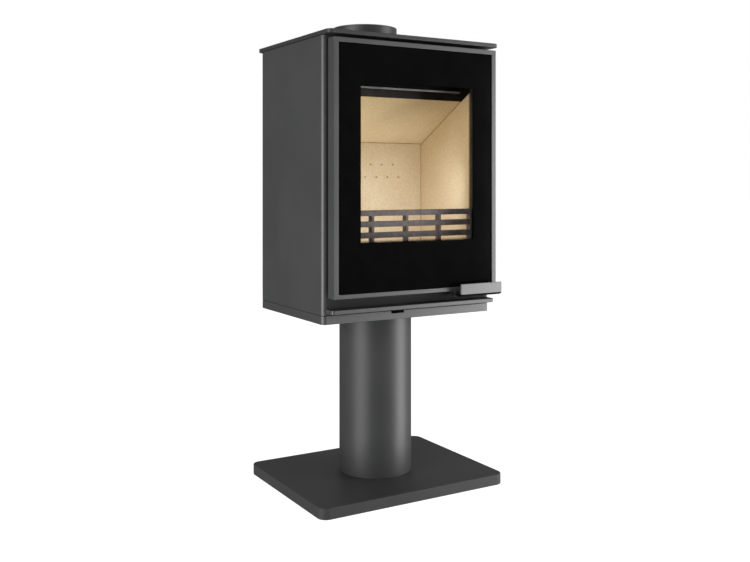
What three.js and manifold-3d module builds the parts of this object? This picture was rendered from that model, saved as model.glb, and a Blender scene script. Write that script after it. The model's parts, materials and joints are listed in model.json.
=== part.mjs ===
// Wood burning stove on a round column and a heavy base plate.
// Millimetres, +Z up, the door faces -Y, and the origin is the centre of the base plate's underside.
import * as THREE from 'three';
import { mergeVertices } from 'three/addons/utils/BufferGeometryUtils.js';
import Module from 'manifold-3d';

const wasm = await Module();
wasm.setup();

// ---------------------------------------------------------------- driving sizes
const GAP = 0.3;

const BASE_W = 462;
const BASE_D = 364;
const BASE_T = 23.6;
const BASE_R = 20;
const BASE_Y = 0.5;

const COLUMN_R = 82.6;
const COLUMN_WALL = 4;

const BODY_W = 426;
const BODY_FRONT = -148.8;
const BODY_REAR = 163.5;
const BODY_R = 10;
const PAN_Z0 = 387.6;
const PAN_Z1 = 405.8;
const SHELL_Z0 = 406.4;
const SHELL_Z1 = 983.0;

const TOP_Z0 = 983.3;
const TOP_Z1 = 991.8;
const TOP_W = 432.2;
const TOP_FRONT = -181.7;
const TOP_REAR = 177.2;

const FLUE_R = 75;
const FLUE_WALL = 3;
const FLUE_Y = 48.6;
const FLUE_TOP = 1039;

const FRAME_FACE = -153.5;

const DOOR_HALF = 205.2;
const DOOR_FRONT = -184.4;
const DOOR_BACK = -158.8;
const DOOR_Z0 = 443.2;
const DOOR_Z1 = 975.3;
const LIP_SIDE = 11;
const LIP_TOP = 9.7;
const LIP_LOW = 8.6;

const BRICK_X = 174;
const BRICK_T = 25;
const BRICK_FRONT = -126.4;
const BRICK_REAR_Y = 73.6;
const FLOOR_Z = 532;
const BAFFLE_SLOPE = 0.5491;
const BAFFLE_Z_AT_REAR = 775.3;
const BAFFLE_FRONT = -94.3;

const HINGE_X = -194;
const HINGE_Y = -169.5;
const PIVOT_X = 108;
const PIVOT_Y = -167;

// ---------------------------------------------------------------- finishes
const finish = (color, roughness, metalness) => new THREE.MeshStandardMaterial({ color, roughness, metalness });
const PAINT = finish(0x4b4d50, 0.55, 0.25);
const DARK_STEEL = finish(0x2a2726, 0.7, 0.3);
const BRIGHT_STEEL = finish(0x8f9194, 0.4, 0.9);
const VERMICULITE = finish(0xd9c79a, 0.95, 0);
const CAST = finish(0x55504e, 0.75, 0.3);
const BLACK_GLASS = finish(0x0c0c0d, 0.08, 0);
const ROPE = finish(0x2f2f31, 0.95, 0);
const TAPE = finish(0xb9b6ad, 0.95, 0);

// ---------------------------------------------------------------- helpers
function solid(geometry) {
  geometry.deleteAttribute('normal');
  geometry.deleteAttribute('uv');
  const merged = mergeVertices(geometry, 1e-4);
  return new wasm.Manifold(new wasm.Mesh({
    numProp: 3,
    vertProperties: new Float32Array(merged.attributes.position.array),
    triVerts: new Uint32Array(merged.index.array),
  }));
}

function node(name, body, material) {
  const data = body.getMesh();
  const geometry = new THREE.BufferGeometry();
  geometry.setAttribute('position', new THREE.BufferAttribute(new Float32Array(data.vertProperties), 3));
  geometry.setIndex(new THREE.BufferAttribute(new Uint32Array(data.triVerts), 1));
  geometry.computeVertexNormals();
  const mesh = new THREE.Mesh(geometry, material);
  mesh.name = name;
  return mesh;
}

function box(x0, x1, y0, y1, z0, z1) {
  const geometry = new THREE.BoxGeometry(x1 - x0, y1 - y0, z1 - z0);
  geometry.translate((x0 + x1) / 2, (y0 + y1) / 2, (z0 + z1) / 2);
  return solid(geometry);
}

// A round bar standing along Z.
function disc(x, y, radius, z0, z1, sides = 24) {
  const geometry = new THREE.CylinderGeometry(radius, radius, z1 - z0, sides);
  geometry.rotateX(Math.PI / 2);
  geometry.translate(x, y, (z0 + z1) / 2);
  return solid(geometry);
}

// A round bar lying along Y.
function rod(x, z, radius, y0, y1, sides = 16) {
  const geometry = new THREE.CylinderGeometry(radius, radius, y1 - y0, sides);
  geometry.translate(x, (y0 + y1) / 2, z);
  return solid(geometry);
}

// Outline of a rectangle with its own radius at the front pair and the rear pair of corners.
function roundedOutline(x0, x1, y0, y1, rFront, rRear, steps = 6) {
  const shape = new THREE.Shape();
  const corners = [
    [x1 - rFront, y0 + rFront, rFront, -90],
    [x1 - rRear, y1 - rRear, rRear, 0],
    [x0 + rRear, y1 - rRear, rRear, 90],
    [x0 + rFront, y0 + rFront, rFront, 180],
  ];
  const points = [];
  for (const [cx, cy, r, start] of corners) {
    for (let i = 0; i <= steps; i += 1) {
      const a = (start + (90 * i) / steps) * Math.PI / 180;
      points.push(new THREE.Vector2(cx + r * Math.cos(a), cy + r * Math.sin(a)));
    }
  }
  shape.setFromPoints(points);
  return shape;
}

function slab(shape, z0, z1) {
  const geometry = new THREE.ExtrudeGeometry(shape, { depth: z1 - z0, bevelEnabled: false });
  geometry.translate(0, 0, z0);
  return solid(geometry);
}

// A closed outline given as [y, z] pairs, run along X.
function profileAlongX(points, x0, x1) {
  const shape = new THREE.Shape(points.map(([y, z]) => new THREE.Vector2(y, z)));
  const geometry = new THREE.ExtrudeGeometry(shape, { depth: x1 - x0, bevelEnabled: false });
  geometry.rotateX(Math.PI / 2);
  geometry.rotateZ(Math.PI / 2);
  geometry.translate(x0, 0, 0);
  return solid(geometry);
}

function ring(x, x2, y0, y1, z0, z1, inX, inX2, inZ0, inZ1) {
  return box(x, x2, y0, y1, z0, z1).subtract(box(inX, inX2, y0 - 1, y1 + 1, inZ0, inZ1));
}

function lathe(points, x, y, sides = 64) {
  const geometry = new THREE.LatheGeometry(points.map(([r, z]) => new THREE.Vector2(r, z)), sides);
  geometry.rotateX(Math.PI / 2);
  geometry.translate(x, y, 0);
  return solid(geometry);
}

// Height of the baffle's underside at a given depth.
function baffleZ(y) {
  return BAFFLE_Z_AT_REAR + (BRICK_REAR_Y - y) * BAFFLE_SLOPE;
}

// ---------------------------------------------------------------- stand
const BOLT_SPOTS = [45, 135, 225, 315].map((deg) => {
  const a = deg * Math.PI / 180;
  return [55 * Math.cos(a), 55 * Math.sin(a)];
});

function basePlate() {
  const y0 = BASE_Y - BASE_D / 2;
  const y1 = BASE_Y + BASE_D / 2;
  let plate = slab(roundedOutline(-BASE_W / 2, BASE_W / 2, y0, y1, BASE_R, BASE_R, 8), 0, BASE_T);
  for (const [x, y] of BOLT_SPOTS) {
    plate = plate.subtract(disc(x, y, 5.3, 8, BASE_T + 1, 16));
  }
  return node('base_plate', plate, PAINT);
}

function columnTube() {
  const inner = COLUMN_R - COLUMN_WALL;
  const z0 = BASE_T + GAP;
  const z1 = PAN_Z0 - GAP;
  const tube = lathe([[inner, z0], [COLUMN_R, z0], [COLUMN_R, z1], [inner, z1], [inner, z0]], 0, 0, 72);
  return node('column_tube', tube, PAINT);
}

function columnFlange(name, z0, z1) {
  let plate = disc(0, 0, COLUMN_R - COLUMN_WALL - GAP, z0, z1, 48);
  plate = plate.subtract(disc(0, 0, 32, z0 - 1, z1 + 1, 32));
  for (const [x, y] of BOLT_SPOTS) {
    plate = plate.subtract(disc(x, y, 5.3, z0 - 1, z1 + 1, 16));
  }
  return node(name, plate, DARK_STEEL);
}

function bolt(name, x, y, headZ, tipZ) {
  const head = disc(x, y, 9.2, headZ, headZ + 6.4, 6);
  const shank = disc(x, y, 5, tipZ, headZ + 1, 16);
  return node(name, head.add(shank), BRIGHT_STEEL);
}

// ---------------------------------------------------------------- body
function basePan() {
  const half = BODY_W / 2;
  const outer = roundedOutline(-half, half, BODY_FRONT, BODY_REAR, BODY_R, BODY_R);
  const inner = roundedOutline(-half + 2.5, half - 2.5, BODY_FRONT + 2.5, BODY_REAR - 2.5, BODY_R - 2.5, BODY_R - 2.5);
  let pan = slab(outer, PAN_Z0, PAN_Z1).subtract(slab(inner, PAN_Z0 + 4, PAN_Z1 + 1));
  pan = pan.subtract(box(-48, -16, BODY_FRONT - 1, BODY_FRONT + 4, 401.8, PAN_Z1 + 1));
  for (const [x, y] of BOLT_SPOTS) {
    pan = pan.subtract(disc(x, y, 5.3, PAN_Z0 - 1, PAN_Z0 + 5, 16));
  }
  return node('base_pan', pan, PAINT);
}

function bodyShell() {
  const half = BODY_W / 2;
  const outer = roundedOutline(-half, half, BODY_FRONT, BODY_REAR, BODY_R, BODY_R);
  const inner = roundedOutline(-half + 2, half - 2, BODY_FRONT + 2, BODY_REAR - 2, BODY_R - 2, BODY_R - 2);
  let shell = slab(outer, SHELL_Z0, SHELL_Z1).subtract(slab(inner, SHELL_Z0 - 1, SHELL_Z1 + 1));
  shell = shell.subtract(box(-196.5, 196.5, BODY_FRONT - 2, BODY_FRONT + 4, 499.5, 940.5));
  shell = shell.subtract(box(-188, 188, BODY_REAR - 4, BODY_REAR + 2, 430, 960));
  for (const [x, z] of REAR_SCREWS) {
    shell = shell.subtract(rod(x, z, 2.7, BODY_REAR - 4, BODY_REAR + 2));
  }
  return node('body_shell', shell, PAINT);
}

const REAR_SCREWS = [];
for (const z of [450, 695, 940]) {
  REAR_SCREWS.push([-198, z]);
  REAR_SCREWS.push([198, z]);
}

function rearPanel() {
  let panel = box(-202.6, 202.6, BODY_REAR - 4.3, BODY_REAR - 2.3, 418, 972);
  for (const [x, z] of REAR_SCREWS) {
    panel = panel.subtract(rod(x, z, 2.7, BODY_REAR - 6, BODY_REAR));
  }
  for (let i = 0; i < 11; i += 1) {
    const x = -100 + 20 * i;
    panel = panel.subtract(box(x - 3, x + 3, BODY_REAR - 6, BODY_REAR, 890, 935));
  }
  return node('rear_panel', panel, PAINT);
}

function rearScrew(name, x, z) {
  const head = rod(x, z, 4.6, BODY_REAR + 0.3, BODY_REAR + 2.5, 20);
  const shank = rod(x, z, 2.4, BODY_REAR - 10, BODY_REAR + 1);
  return node(name, head.add(shank), BRIGHT_STEEL);
}

function ledgePlate() {
  const shape = roundedOutline(-DOOR_HALF, DOOR_HALF, -178, BODY_FRONT - GAP, 6, 0.6, 6);
  return node('ledge_plate', slab(shape, 411.4, 420), PAINT);
}

function topPlate() {
  const shape = roundedOutline(-TOP_W / 2, TOP_W / 2, TOP_FRONT, TOP_REAR, 12, 12, 8);
  const plate = slab(shape, TOP_Z0, TOP_Z1).subtract(disc(0, FLUE_Y, FLUE_R + 0.5, TOP_Z0 - 1, TOP_Z1 + 1, 64));
  return node('top_plate', plate, PAINT);
}

function flueCollar() {
  const inner = FLUE_R - FLUE_WALL;
  const profile = [
    [inner, 951],
    [FLUE_R, 951],
    [FLUE_R, 959.5],
    [FLUE_R + 14, 959.5],
    [FLUE_R + 14, 963],
    [FLUE_R, 963],
    [FLUE_R, FLUE_TOP],
    [inner, FLUE_TOP],
    [inner, 951],
  ];
  return node('flue_collar', lathe(profile, 0, FLUE_Y, 64), PAINT);
}

// ---------------------------------------------------------------- firebox
function fireboxShell() {
  const half = BRICK_X + BRICK_T + GAP + 3;
  const rear = BRICK_REAR_Y + BRICK_T + GAP + 3;
  let shell = box(-half, half, -141.7, rear, 391.9, 959.2);
  shell = shell.subtract(box(-half + 3, half - 3, -138.7, rear - 3, 500, 955.2));
  shell = shell.subtract(box(-half + 3, half - 3, -150, rear - 3, 380, 496));
  shell = shell.subtract(box(-180, 180, -150, -130, 526, 909));
  shell = shell.subtract(disc(0, FLUE_Y, FLUE_R + 0.4, 940, 970, 64));
  for (const [x, z] of airHoles()) {
    shell = shell.subtract(rod(x, z, 3, rear - 5, rear + 2, 12));
  }
  return node('firebox_shell', shell, DARK_STEEL);
}

function frontFrame() {
  let frame = ring(-196, 196, FRAME_FACE, FRAME_FACE + 4, 500, 940, -176, 176, 529, 905);
  frame = frame.add(ring(-196, 196, FRAME_FACE + 3, -142, 500, 940, -193, 193, 503, 937));
  frame = frame.add(ring(-179, 179, FRAME_FACE + 3, -126.7, 526.5, 908, -176, 176, 529, 905));
  return node('front_frame', frame, DARK_STEEL);
}

function airHoles() {
  const pitch = 30.8;
  const spots = [];
  for (let i = -3; i <= 3; i += 1) {
    spots.push([i * pitch, 722.8]);
  }
  for (let i = 0; i < 8; i += 1) {
    spots.push([(i - 3.5) * pitch, 692.4]);
  }
  return spots;
}

function sideBrick(name, sign) {
  const y1 = BRICK_REAR_Y + BRICK_T;
  const outline = [
    [BRICK_FRONT, 500.3],
    [y1, 500.3],
    [y1, baffleZ(y1) - GAP],
    [BRICK_FRONT, baffleZ(BRICK_FRONT) - GAP],
  ];
  const x0 = sign > 0 ? BRICK_X : -BRICK_X - BRICK_T;
  return node(name, profileAlongX(outline, x0, x0 + BRICK_T), VERMICULITE);
}

function rearBrick() {
  const y1 = BRICK_REAR_Y + BRICK_T;
  const outline = [
    [BRICK_REAR_Y, 500.3],
    [y1, 500.3],
    [y1, baffleZ(y1) - GAP],
    [BRICK_REAR_Y, baffleZ(BRICK_REAR_Y) - GAP],
  ];
  let brick = profileAlongX(outline, -BRICK_X + GAP, BRICK_X - GAP);
  for (const [x, z] of airHoles()) {
    brick = brick.subtract(rod(x, z, 2, BRICK_REAR_Y - 2, y1 + 2, 12));
  }
  return node('brick_rear', brick, VERMICULITE);
}

function floorBrick() {
  const slabBrick = box(-BRICK_X + GAP, BRICK_X - GAP, BRICK_FRONT, BRICK_REAR_Y - GAP, 500.3, FLOOR_Z);
  return node('brick_floor', slabBrick, VERMICULITE);
}

function baffleBoard() {
  const y1 = BRICK_REAR_Y + BRICK_T;
  const rise = 25 * Math.sqrt(1 + BAFFLE_SLOPE * BAFFLE_SLOPE);
  const outline = [
    [y1, baffleZ(y1)],
    [y1, baffleZ(y1) + rise],
    [BAFFLE_FRONT, baffleZ(BAFFLE_FRONT) + rise],
    [BAFFLE_FRONT, baffleZ(BAFFLE_FRONT)],
  ];
  const half = BRICK_X + BRICK_T;
  return node('baffle_board', profileAlongX(outline, -half, half), VERMICULITE);
}

function airwashPlate() {
  const outline = [
    [-132, 880.8],
    [-127, 880.8],
    [-127, 904.7],
    [-130, 904.7],
    [-130, 884.6],
    [-132, 884.6],
  ];
  return node('airwash_plate', profileAlongX(outline, -144, 144), DARK_STEEL);
}

function logGuard() {
  const y0 = -137;
  const y1 = -122.6;
  const bodies = [];
  for (let i = 0; i < 4; i += 1) {
    const top = 620.6 - 23.6 * i;
    bodies.push(box(-173.6, 173.6, y0, y1, top - 12.1, top));
  }
  for (const x of [-86, 0, 86]) {
    bodies.push(box(x - 3.6, x + 3.6, y0 + 0.2, y1 - 0.2, FLOOR_Z + GAP, 615));
  }
  for (const x of [-170.9, 170.9]) {
    bodies.push(box(x - 2.7, x + 2.7, y0 + 0.2, y1 - 0.2, FLOOR_Z + GAP, 615));
  }
  return node('log_guard', bodies.reduce((a, b) => a.add(b)), CAST);
}

function rearAirDuct() {
  const y0 = BRICK_REAR_Y + BRICK_T + GAP + 3 + GAP;
  let duct = box(-132, 132, y0, y0 + 24, 520, 752);
  duct = duct.subtract(box(-130, 130, y0 - 1, y0 + 22, 510, 750));
  return node('rear_air_duct', duct, DARK_STEEL);
}

// Valve plate with a row of slots; the slide above it carries the same slots and the lever tab.
function valvePlate(z0, z1, y0, y1, x0, x1) {
  let plate = box(x0, x1, y0, y1, z0, z1);
  for (let i = 0; i < 5; i += 1) {
    const x = -84 + 30 * i;
    plate = plate.subtract(box(x - 6, x + 6, -140, -122, z0 - 1, z1 + 1));
  }
  return plate;
}

function airValveSeat() {
  return node('air_valve_seat', valvePlate(397.6, 400, -146, -116, -112, 60), DARK_STEEL);
}

function airSlide() {
  const tab = box(-28, -20, -148.4, -144, 402.6, 404.8);
  return node('air_slide', valvePlate(402.4, 404.8, -145.9, -118, -94, 50).add(tab), DARK_STEEL);
}

// ---------------------------------------------------------------- door
function doorFrame() {
  const x = DOOR_HALF;
  let frame = ring(-x, x, DOOR_FRONT, DOOR_BACK, DOOR_Z0, DOOR_Z1, -x + 3, x - 3, DOOR_Z0 + 3, DOOR_Z1 - 3);
  const lip = ring(
    -x, x, DOOR_FRONT, DOOR_FRONT + 2.4, DOOR_Z0, DOOR_Z1,
    -x + LIP_SIDE, x - LIP_SIDE, DOOR_Z0 + LIP_LOW, DOOR_Z1 - LIP_TOP,
  );
  frame = frame.add(lip);
  frame = frame.add(box(-203, -184, -175, -160, DOOR_Z0 + 1, 452.6));
  frame = frame.add(box(-203, -184, -175, -160, 965.9, DOOR_Z1 - 1));
  frame = frame.add(box(98, 118, -173.2, -160, DOOR_Z0 + 1, 458));
  for (const [px, pz] of RETAINER_SCREWS) {
    frame = frame.add(box(px - 8, px + 8, -172.9, -166, pz < 700 ? DOOR_Z0 + 1 : pz - 7, pz < 700 ? pz + 7 : DOOR_Z1 - 1));
    frame = frame.subtract(rod(px, pz, 2.4, -180, -150));
  }
  frame = frame.subtract(disc(HINGE_X, HINGE_Y, 3.3, 444.5, 460));
  frame = frame.subtract(disc(HINGE_X, HINGE_Y, 3.3, 960, 974));
  frame = frame.subtract(disc(PIVOT_X, PIVOT_Y, 3.8, 440, 456));
  return node('door_frame', frame, PAINT);
}

const ROPE_Y = FRAME_FACE - 4.7;
const RETAINER_SCREWS = [[-120, 458], [150, 458], [-120, 960], [150, 960]];

function doorGlass() {
  return node('door_glass', box(-200.6, 200.6, -181.7, -177.7, 448.2, 970.4), BLACK_GLASS);
}

function glassGasket() {
  const tape = ring(-200, 200, -177.4, -176.5, 449, 969.6, -184, 184, 465, 953.6);
  return node('glass_gasket', tape, TAPE);
}

function glassRetainer() {
  let plate = ring(-201.6, 201.6, -176.2, -173.2, 447.2, 971.4, -179, 179, 522, 918);
  plate = plate.subtract(box(-210, -158, -180, -170, 440, 463));
  plate = plate.subtract(box(-210, -158, -180, -170, 955.5, 980));
  const channel = ring(-193, 193, -174, FRAME_FACE - 5.1, 508, 932, -181, 181, 520, 920);
  const groove = ring(-191.4, 191.4, ROPE_Y - 4.4, -157, 509.6, 930.4, -182.6, 182.6, 518.4, 921.6);
  plate = plate.add(channel).subtract(groove);
  for (const [px, pz] of RETAINER_SCREWS) {
    plate = plate.subtract(rod(px, pz, 2.4, -180, -170));
  }
  return node('glass_retainer', plate, DARK_STEEL);
}

function retainerScrew(name, x, z) {
  const head = rod(x, z, 4.2, -165.7, -163.2, 16);
  const shank = rod(x, z, 2.1, -176, -165);
  return node(name, head.add(shank), BRIGHT_STEEL);
}

function doorGasket() {
  const half = 187;
  const z0 = 514;
  const z1 = 926;
  const r = 4.5;
  const path = new THREE.CurvePath();
  const corners = [[half, z0], [half, z1], [-half, z1], [-half, z0]];
  const y = ROPE_Y;
  for (let i = 0; i < 4; i += 1) {
    const [ax, az] = corners[i];
    const [bx, bz] = corners[(i + 1) % 4];
    const [cx, cz] = corners[(i + 2) % 4];
    const ux = Math.sign(bx - ax);
    const uz = Math.sign(bz - az);
    const vx = Math.sign(cx - bx);
    const vz = Math.sign(cz - bz);
    const start = new THREE.Vector3(ax + ux * r, y, az + uz * r);
    const end = new THREE.Vector3(bx - ux * r, y, bz - uz * r);
    const turn = new THREE.Vector3(bx, y, bz);
    const out = new THREE.Vector3(bx + vx * r, y, bz + vz * r);
    path.add(new THREE.LineCurve3(start, end));
    path.add(new THREE.QuadraticBezierCurve3(end, turn, out));
  }
  const points = [];
  for (const curve of path.curves) {
    const steps = curve.isLineCurve3 ? 1 : 5;
    for (let i = 0; i < steps; i += 1) {
      points.push(curve.getPoint(i / steps));
    }
  }
  return node('door_gasket', solid(loopTube(points, 4, 10)), ROPE);
}

// Sweeps a round section along a closed loop that lies in a plane of constant Y.
function loopTube(points, radius, sides) {
  const positions = [];
  const index = [];
  const n = points.length;
  for (let i = 0; i < n; i += 1) {
    const before = points[(i + n - 1) % n];
    const after = points[(i + 1) % n];
    const a = new THREE.Vector3().subVectors(points[i], before).normalize();
    const b = new THREE.Vector3().subVectors(after, points[i]).normalize();
    const along = new THREE.Vector3().addVectors(a, b).normalize();
    const side = new THREE.Vector3(0, 1, 0).cross(along).normalize();
    const stretch = 1 / Math.max(0.5, along.dot(a));
    for (let k = 0; k < sides; k += 1) {
      const t = (2 * Math.PI * k) / sides;
      const p = points[i].clone();
      p.addScaledVector(side, radius * stretch * Math.cos(t));
      p.y += radius * Math.sin(t);
      positions.push(p.x, p.y, p.z);
    }
  }
  for (let i = 0; i < n; i += 1) {
    for (let k = 0; k < sides; k += 1) {
      const a = i * sides + k;
      const b = i * sides + ((k + 1) % sides);
      const c = ((i + 1) % n) * sides + k;
      const d = ((i + 1) % n) * sides + ((k + 1) % sides);
      index.push(a, b, c, b, d, c);
    }
  }
  const geometry = new THREE.BufferGeometry();
  geometry.setAttribute('position', new THREE.Float32BufferAttribute(positions, 3));
  geometry.setAttribute('normal', new THREE.Float32BufferAttribute(positions, 3));
  geometry.setAttribute('uv', new THREE.Float32BufferAttribute(new Float32Array((positions.length / 3) * 2), 2));
  geometry.setIndex(index);
  return geometry;
}

// Folded handle: an upright face, a rounded fold at its foot, and a flange that runs under the door.
function doorHandle() {
  const outline = [];
  const fold = 5;
  outline.push([-205, 459.6]);
  for (let i = 0; i <= 6; i += 1) {
    const a = Math.PI + (Math.PI / 2) * (i / 6);
    outline.push([-205 + fold + fold * Math.cos(a), 431.9 + fold + fold * Math.sin(a)]);
  }
  outline.push([-184, 431.9]);
  outline.push([-184, 435.9]);
  outline.push([-200.4, 435.9]);
  outline.push([-201, 436.5]);
  outline.push([-201, 459.6]);
  let handle = profileAlongX(outline, 91.6, 205.4);
  handle = handle.add(box(98.5, 128, -186, -170, 431.9, 435.9));
  handle = handle.add(disc(PIVOT_X, PIVOT_Y, 8, 431.9, 435.9, 32));
  handle = handle.add(disc(PIVOT_X, PIVOT_Y, 6.5, 435, 442.8, 32));
  handle = handle.add(box(PIVOT_X - 1.5, PIVOT_X + 3.5, PIVOT_Y + 2, PIVOT_Y + 16, 431.9, 435.9));
  handle = handle.add(box(PIVOT_X - 6, PIVOT_X, PIVOT_Y + 12.6, PIVOT_Y + 16, 431.9, 435.9));
  handle = handle.subtract(disc(PIVOT_X, PIVOT_Y, 3.8, 430, 445));
  return node('door_handle', handle, PAINT);
}

function handlePivotPin() {
  const pin = disc(PIVOT_X, PIVOT_Y, 3.5, 430, 455).add(disc(PIVOT_X, PIVOT_Y, 6, 428.6, 431.6));
  return node('handle_pivot_pin', pin, BRIGHT_STEEL);
}

function latchCatch() {
  let part = box(PIVOT_X - 10, PIVOT_X - 2.4, PIVOT_Y + 7.4, BODY_FRONT - GAP, 438, 441);
  part = part.add(disc(PIVOT_X - 5, PIVOT_Y + 9.7, 2.3, 428.5, 439, 16));
  part = part.add(box(PIVOT_X - 16, PIVOT_X - 2.4, BODY_FRONT - 2.3, BODY_FRONT - GAP, 436.8, 441));
  return node('latch_catch', part, DARK_STEEL);
}

// Swan neck plate: it leaves the body away from the pin, so the door's edge can swing past it.
function hingePlate(name, z0, z1) {
  const x = HINGE_X;
  const y = HINGE_Y;
  const rear = BODY_FRONT - GAP;
  let plate = disc(x, y, 6.5, z0, z1, 32);
  plate = plate.add(box(x, x + 27, y - 6.5, y + 3.5, z0, z1));
  plate = plate.add(box(x + 17, x + 27, y - 6.5, rear, z0, z1));
  plate = plate.subtract(disc(x, y, 3.3, z0 - 1, z1 + 1));
  return node(name, plate, DARK_STEEL);
}

function hingePin(name, z0, z1, headZ0, headZ1) {
  const pin = disc(HINGE_X, HINGE_Y, 3, z0, z1).add(disc(HINGE_X, HINGE_Y, 5, headZ0, headZ1));
  return node(name, pin, BRIGHT_STEEL);
}

// ---------------------------------------------------------------- assembly
const group = new THREE.Group();
group.name = 'wood_burning_stove';
group.add(basePlate());
group.add(columnTube());
group.add(columnFlange('column_base_flange', BASE_T + GAP, BASE_T + GAP + 8));
group.add(columnFlange('column_top_flange', PAN_Z0 - GAP - 8, PAN_Z0 - GAP));
BOLT_SPOTS.forEach(([x, y], i) => {
  group.add(bolt(`base_bolt_${i + 1}`, x, y, BASE_T + GAP + 8 + GAP, 9));
  group.add(bolt(`top_bolt_${i + 1}`, x, y, PAN_Z0 + 4 + GAP, PAN_Z0 - 18));
});
group.add(basePan());
group.add(bodyShell());
group.add(rearPanel());
REAR_SCREWS.forEach(([x, z], i) => {
  group.add(rearScrew(`rear_screw_${i + 1}`, x, z));
});
group.add(ledgePlate());
group.add(topPlate());
group.add(flueCollar());
group.add(fireboxShell());
group.add(frontFrame());
group.add(sideBrick('brick_left', -1));
group.add(sideBrick('brick_right', 1));
group.add(rearBrick());
group.add(floorBrick());
group.add(baffleBoard());
group.add(airwashPlate());
group.add(logGuard());
group.add(rearAirDuct());
group.add(airValveSeat());
group.add(airSlide());
group.add(doorFrame());
group.add(doorGlass());
group.add(glassGasket());
group.add(glassRetainer());
RETAINER_SCREWS.forEach(([x, z], i) => {
  group.add(retainerScrew(`retainer_screw_${i + 1}`, x, z));
});
group.add(doorGasket());
group.add(doorHandle());
group.add(handlePivotPin());
group.add(latchCatch());
group.add(hingePlate('hinge_plate_lower', 453, 457));
group.add(hingePlate('hinge_plate_upper', 961.5, 965.5));
group.add(hingePin('hinge_pin_lower', 445, 458, 457.3, 460.3));
group.add(hingePin('hinge_pin_upper', 960, 973.5, 958.2, 961.2));
// The origin is the centre of the base plate's underside.
export default group;
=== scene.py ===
# %% [markdown]
# # A wood burning stove on a column
# The stove is a steel box on a round column. It has a glass door that is printed black all
# round a clear window, pale vermiculite boards behind it, and a cast guard that holds the logs.
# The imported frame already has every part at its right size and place. This lesson gives the
# parts their edges, folds and finishes, and lights them.

# %% Load the frame
import json
from math import cos, pi, radians, sin, sqrt

import bmesh
import bpy
from mathutils import Matrix, Vector


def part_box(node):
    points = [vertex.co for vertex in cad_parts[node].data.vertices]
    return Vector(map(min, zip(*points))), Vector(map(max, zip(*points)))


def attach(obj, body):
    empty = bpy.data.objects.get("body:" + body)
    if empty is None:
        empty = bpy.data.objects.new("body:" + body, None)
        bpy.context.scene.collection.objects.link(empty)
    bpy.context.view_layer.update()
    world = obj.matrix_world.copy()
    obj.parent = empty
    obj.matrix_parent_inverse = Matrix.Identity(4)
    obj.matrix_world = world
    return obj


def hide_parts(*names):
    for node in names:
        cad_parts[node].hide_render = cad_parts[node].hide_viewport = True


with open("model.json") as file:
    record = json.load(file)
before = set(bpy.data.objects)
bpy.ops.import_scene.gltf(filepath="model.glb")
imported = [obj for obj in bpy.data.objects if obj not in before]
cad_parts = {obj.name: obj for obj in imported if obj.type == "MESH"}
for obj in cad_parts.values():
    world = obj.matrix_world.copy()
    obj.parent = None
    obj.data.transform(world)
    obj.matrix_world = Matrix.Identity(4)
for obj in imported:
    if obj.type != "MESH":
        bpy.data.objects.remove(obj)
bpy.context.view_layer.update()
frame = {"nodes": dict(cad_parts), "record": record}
nodes = frame["nodes"]
MM = 0.001

# %% [markdown]
# ## The camera
# A product picture of a tall object is best taken with the camera level, so that upright edges
# stay upright. Tilting it down would make the column lean. The lens is shifted down instead,
# as with an architect's camera, to bring the base plate into the picture.

# %% Place the camera
camera_data = bpy.data.cameras.new("studio_camera")
camera = bpy.data.objects.new("studio_camera", camera_data)
bpy.context.scene.collection.objects.link(camera)
camera.location = (-1.07726, -1.82733, 0.68232)
camera.rotation_euler = (radians(90), 0, radians(-30.506))
camera_data.lens = 44.25
camera_data.sensor_width = 36
camera_data.shift_y = -0.1328
bpy.context.scene.camera = camera
print("camera height", round(camera.location.z, 3), "m")

# %% [markdown]
# ## The floor and the far light
# The stove stands on a pale sheet that is lit so evenly that it nearly disappears. A plain
# white floor alone would go grey with distance, so the sheet also glows, like a light table.
# Dark paint mirrors all that stands round it, and a white room would wash it out. In a studio,
# black flags beside the object keep that light away. Here the sheet and the sky ask the Light
# Path node who is looking: the lens sees them white, and the steel sees them dim. The sheet is
# also left out of reflections and casts no shadow, because the softboxes reach down past it.

# %% Lay the floor
def new_shader(name):
    """A new material with its node tree and its main shader."""
    material = bpy.data.materials.new(name)
    material.use_nodes = True
    tree = material.node_tree
    return material, tree, tree.nodes["Principled BSDF"]


SHEET_MIRRORED = 0.10
pale_sheet, tree, sheet_shader = new_shader("pale_sheet")
grain = tree.nodes.new("ShaderNodeTexNoise")
grain.inputs["Scale"].default_value = 3
place = tree.nodes.new("ShaderNodeTexCoord")
tone = tree.nodes.new("ShaderNodeMapRange")
tone.inputs["To Min"].default_value = 0.33
tone.inputs["To Max"].default_value = 0.37
tree.links.new(place.outputs["Object"], grain.inputs["Vector"])
tree.links.new(grain.outputs["Fac"], tone.inputs["Value"])
tree.links.new(tone.outputs["Result"], sheet_shader.inputs["Base Color"])
sheet_shader.inputs["Roughness"].default_value = 0.9
sheet_shader.inputs["Specular IOR Level"].default_value = 0.1
sheet_shader.inputs["Emission Color"].default_value = (1, 1, 1, 1)


def for_the_lens(tree, seen, mirrored):
    """A strength that is one number to the lens and another to everything else."""
    ray = tree.nodes.new("ShaderNodeLightPath")
    pick = tree.nodes.new("ShaderNodeMapRange")
    pick.inputs["To Min"].default_value = mirrored
    pick.inputs["To Max"].default_value = seen
    tree.links.new(ray.outputs["Is Camera Ray"], pick.inputs["Value"])
    return pick


sheet_glow = for_the_lens(tree, 0.95, SHEET_MIRRORED)
tree.links.new(sheet_glow.outputs["Result"], sheet_shader.inputs["Emission Strength"])

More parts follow.
